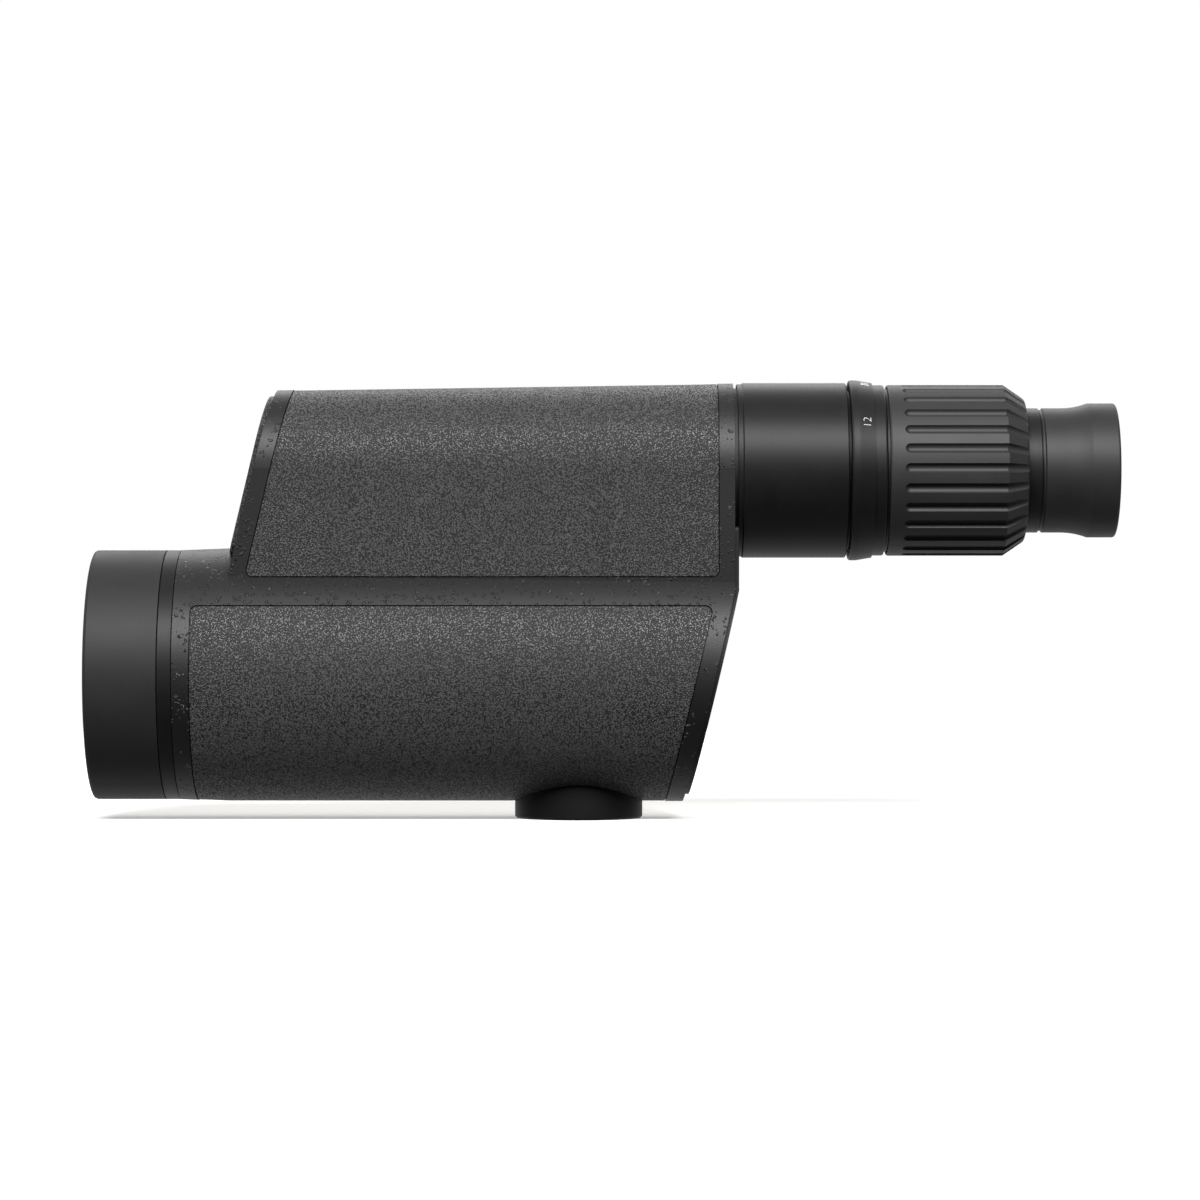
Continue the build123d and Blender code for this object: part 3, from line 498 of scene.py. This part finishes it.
def turnedAnodised():
    asked = turningSettings
    material, tree, shader, place = newMaterial(
        "satinBlackAnodisedAluminium", {"Specular IOR Level": asked["specular"]}
    )
    along = addNode(tree, "ShaderNodeSeparateXYZ", {}, {"Vector": place})
    rings = addNode(
        tree,
        "ShaderNodeTexNoise",
        {"noise_dimensions": "1D"},
        {"W": along.outputs["X"], "Scale": perMetre(asked["pitch"])},
    )
    broad = addNode(
        tree, "ShaderNodeTexNoise", {}, {"Vector": place, "Scale": perMetre(asked["mottle"])}
    )
    colourSpread(tree, shader, broad.outputs["Fac"], asked["colours"], mottleEnds)
    roughnessSpread(tree, shader, rings.outputs["Fac"], asked["roughness"])
    bumpFrom(tree, shader, rings.outputs["Fac"], asked["bump"], asked["height"])
    return material


# Crown and flint glass with a magnesium fluoride coat: clear, with a faint violet-green bloom.
glassSettings = {
    "colour": "#f4fbf7",
    "ior": 1.52,
    "coatNanometres": 300.0,
    "coatIor": 1.38,
    "haze": 6.0,
    "roughness": (0.0, 0.03),
}


def coatedGlass():
    asked = glassSettings
    material, tree, shader, place = newMaterial(
        "coatedOpticalGlass",
        {
            "Base Color": linearColour(asked["colour"]),
            "IOR": asked["ior"],
            "Transmission Weight": 1.0,
            "Thin Film Thickness": asked["coatNanometres"],
            "Thin Film IOR": asked["coatIor"],
        },
    )
    haze = addNode(
        tree,
        "ShaderNodeTexNoise",
        {},
        {"Vector": place, "Scale": perMetre(asked["haze"]), "Detail": 3.0},
    )
    roughnessSpread(tree, shader, haze.outputs["Fac"], asked["roughness"])
    return material


# Front-silvered mirror: bright, a little warm, with the faintest haze.
mirrorSettings = {"colour": "#eeebe4", "haze": 5.0, "roughness": (0.02, 0.06)}


def silveredMirror():
    asked = mirrorSettings
    material, tree, shader, place = newMaterial(
        "frontSilveredMirror", {"Base Color": linearColour(asked["colour"]), "Metallic": 1.0}
    )
    haze = addNode(
        tree,
        "ShaderNodeTexNoise",
        {},
        {"Vector": place, "Scale": perMetre(asked["haze"]), "Detail": 3.0},
    )
    roughnessSpread(tree, shader, haze.outputs["Fac"], asked["roughness"])
    return material


# Stainless screws and pins: bright bare metal with brushed streaks.
steelSettings = {
    "streak": 1.2,  # length along the brushing
    "thinness": 9,  # length over width
    "colours": ("#8e8e90", "#b4b4b4"),
    "roughness": (0.24, 0.38),
    "bump": 0.2,
    "height": 0.01,
}


def brushedStainless():
    asked = steelSettings
    material, tree, shader, place = newMaterial("brushedStainlessSteel", {"Metallic": 1.0})
    stretch = addNode(
        tree, "ShaderNodeMapping", {}, {"Vector": place, "Scale": (1, 1, asked["thinness"])}
    )
    streaks = addNode(
        tree,
        "ShaderNodeTexNoise",
        {},
        {
            "Vector": stretch.outputs["Vector"],
            "Scale": perMetre(asked["streak"]),
            "Detail": 3.0,
        },
    )
    colourSpread(tree, shader, streaks.outputs["Fac"], asked["colours"], mottleEnds)
    roughnessSpread(tree, shader, streaks.outputs["Fac"], asked["roughness"])
    bumpFrom(tree, shader, streaks.outputs["Fac"], asked["bump"], asked["height"])
    return material


finishes = {
    "housing_coat": wrinkleCoat(),
    "armour_rubber": pebbledRubber(),
    "black_anodised": turnedAnodised(),
    "steel": brushedStainless(),
    "coated_glass": coatedGlass(),
    "silvered_mirror": silveredMirror(),
}
for slotName, asked in evenSettings.items():
    finishes[slotName] = evenCoat(asked)
for node in nodes.values():
    slotName = node.data.materials[0].name.split(".")[0]
    for materialSlot in node.material_slots:
        materialSlot.material = finishes[slotName]
print("materials made:", len(finishes))

# Figures on the power ring. These sizes are in metres.

figureSettings = {
    "figures": {"12": 148.6, "20": 107.0, "30": 74.0, "40": 50.6},  # degrees from +Y up to +Z
    "fromEyeEnd": 0.0061,  # middle of the figures to the ring's eye-side end
    "ringRadius": 0.02744,
    "ringSlope": 9.66,  # degrees, the cone that the figures stand on
    "typeSize": 0.0034,
    "curveSteps": 6,
    "height": 0.0024,
    "width": 0.0028,
    "thin": -0.00011,  # taken off all round, for a light stroke
    "thickness": 0.00014,
    "proud": 0.00005,
    "mergeWithin": 1e-6,
}

ringLow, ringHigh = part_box("power_ring")
ringCentre = (ringLow.z + ringHigh.z) / 2


def settle(piece, location=(0, 0, 0), turn=(0, 0, 0), scale=(1, 1, 1)):
    # Moves a piece and puts the move in its mesh; turn is in degrees
    piece.location = location
    piece.rotation_euler = [math.radians(angle) for angle in turn]
    piece.scale = scale
    bpy.ops.object.transform_apply(location=True, rotation=True, scale=True)


def makeFigure(text, angle):
    asked = figureSettings
    bpy.ops.object.select_all(action="DESELECT")
    bpy.ops.object.text_add(location=(0, 0, 0))
    figure = bpy.context.object
    figure.name = "figure" + text
    figure.data.body = text
    figure.data.align_x = "CENTER"
    figure.data.align_y = "CENTER"
    figure.data.size = asked["typeSize"]
    figure.data.extrude = asked["thickness"] / 2
    figure.data.offset = asked["thin"]
    figure.data.resolution_u = asked["curveSteps"]
    bpy.ops.object.convert(target="MESH")
    bpy.ops.object.mode_set(mode="EDIT")
    bpy.ops.mesh.select_all(action="SELECT")
    bpy.ops.mesh.remove_doubles(threshold=asked["mergeWithin"])
    bpy.ops.object.mode_set(mode="OBJECT")
    bpy.ops.object.origin_set(type="ORIGIN_GEOMETRY", center="BOUNDS")
    wide, tall = figure.dimensions.x, figure.dimensions.y
    settle(figure, scale=(asked["width"] / wide, asked["height"] / tall, 1))
    # Reading direction along +Y at the ring's top, feet towards the eye end
    settle(figure, turn=(0, 0, 90))
    settle(figure, turn=(0, asked["ringSlope"], 0))
    ringSurface = asked["ringRadius"] + asked["proud"] - asked["thickness"] / 2
    settle(figure, location=(ringHigh.x - asked["fromEyeEnd"], 0, ringSurface))
    settle(figure, location=(0, 0, ringCentre), turn=(angle - 90, 0, 0))
    figure.data.materials.clear()
    figure.data.materials.append(finishes["white_enamel"])
    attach(figure, "power")


for figureText, figureAngle in figureSettings["figures"].items():
    makeFigure(figureText, figureAngle)
print("figures made:", len(figureSettings["figures"]))
